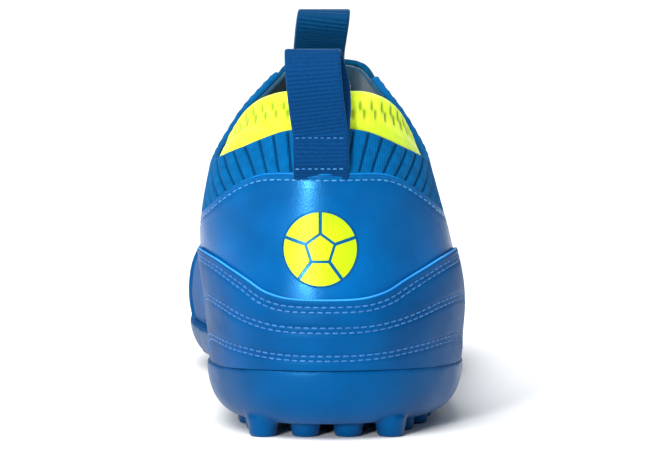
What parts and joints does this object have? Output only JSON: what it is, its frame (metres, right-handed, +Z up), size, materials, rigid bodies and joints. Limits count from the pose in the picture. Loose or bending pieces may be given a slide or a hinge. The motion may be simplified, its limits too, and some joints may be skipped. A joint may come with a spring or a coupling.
{
  "type": "turf soccer shoe",
  "caption": "Laceless right-foot turf soccer shoe with a knitted sock collar, padded heel lining, pull loops and a studded rubber cup sole.",
  "frame": {"origin": "centre of the shoe's footprint, on the ground that the studs stand on", "axes": "+Y heel to toe, +X to the outer side of the foot, +Z up"},
  "size_m": [0.0988, 0.2866, 0.1348],
  "materials": {
    "outsole_rubber": "moulded rubber, satin",
    "midsole_foam": "foam, matte",
    "board": "fibre board, matte",
    "sockliner_fabric": "knitted face on foam",
    "stiffener": "thermoplastic sheet, matte",
    "backing_foam": "thin foam",
    "upper_sheet": "glossy coated synthetic leather, fine grain",
    "heel_sheet": "glossy coated synthetic leather, fine grain",
    "foxing_sheet": "satin coated synthetic leather",
    "toe_sheet": "satin coated synthetic leather",
    "collar_knit": "ribbed knit",
    "tongue_knit": "ribbed knit",
    "lining": "tricot lining",
    "heel_pad": "padded tricot, neon yellow",
    "pad_foam": "open cell foam",
    "heel_webbing": "grosgrain webbing",
    "tongue_webbing": "grosgrain webbing",
    "emblem": "raised soft print, satin",
    "label": "woven blank label"
  },
  "bodies": {
    "shoe": {"outsole": "outsole_rubber", "midsole": "midsole_foam", "insole_board": "board", "heel_counter": "stiffener", "toe_puff": "stiffener", "upper_backing": "backing_foam", "vamp": "upper_sheet", "lateral_quarter": "upper_sheet", "medial_quarter": "upper_sheet", "heel_panel": "heel_sheet", "heel_foxing": "foxing_sheet", "toe_cap": "toe_sheet", "knit_collar": "collar_knit", "tongue": "tongue_knit", "forefoot_lining": "lining", "heel_lining": "heel_pad", "collar_foam": "pad_foam", "heel_loop_base": "heel_webbing", "tongue_loop_base": "tongue_webbing", "heel_emblem": "emblem", "size_label": "label"},
    "heel_loop": {"heel_pull_loop": "heel_webbing"},
    "tongue_loop": {"tongue_pull_loop": "tongue_webbing"},
    "footbed": {"sockliner": "sockliner_fabric"}
  },
  "joints": [
    {"name": "heel_loop_fold", "type": "hinge", "parent": "shoe", "child": "heel_loop", "pos_m": [0, -0.138, 0.1015], "axis": [1, 0, 0], "range_deg": [0, 75], "stiffness_Nm_per_rad": 0.004},
    {"name": "tongue_loop_fold", "type": "hinge", "parent": "shoe", "child": "tongue_loop", "pos_m": [0, -0.0329, 0.1182], "axis": [1, 0, 0], "range_deg": [-45, 48], "stiffness_Nm_per_rad": 0.004},
    {"name": "sockliner_lift", "type": "hinge", "parent": "shoe", "child": "footbed", "pos_m": [0, 0.1365, 0.0198], "axis": [-1, 0, 0], "range_deg": [0, 7]}
  ]
}
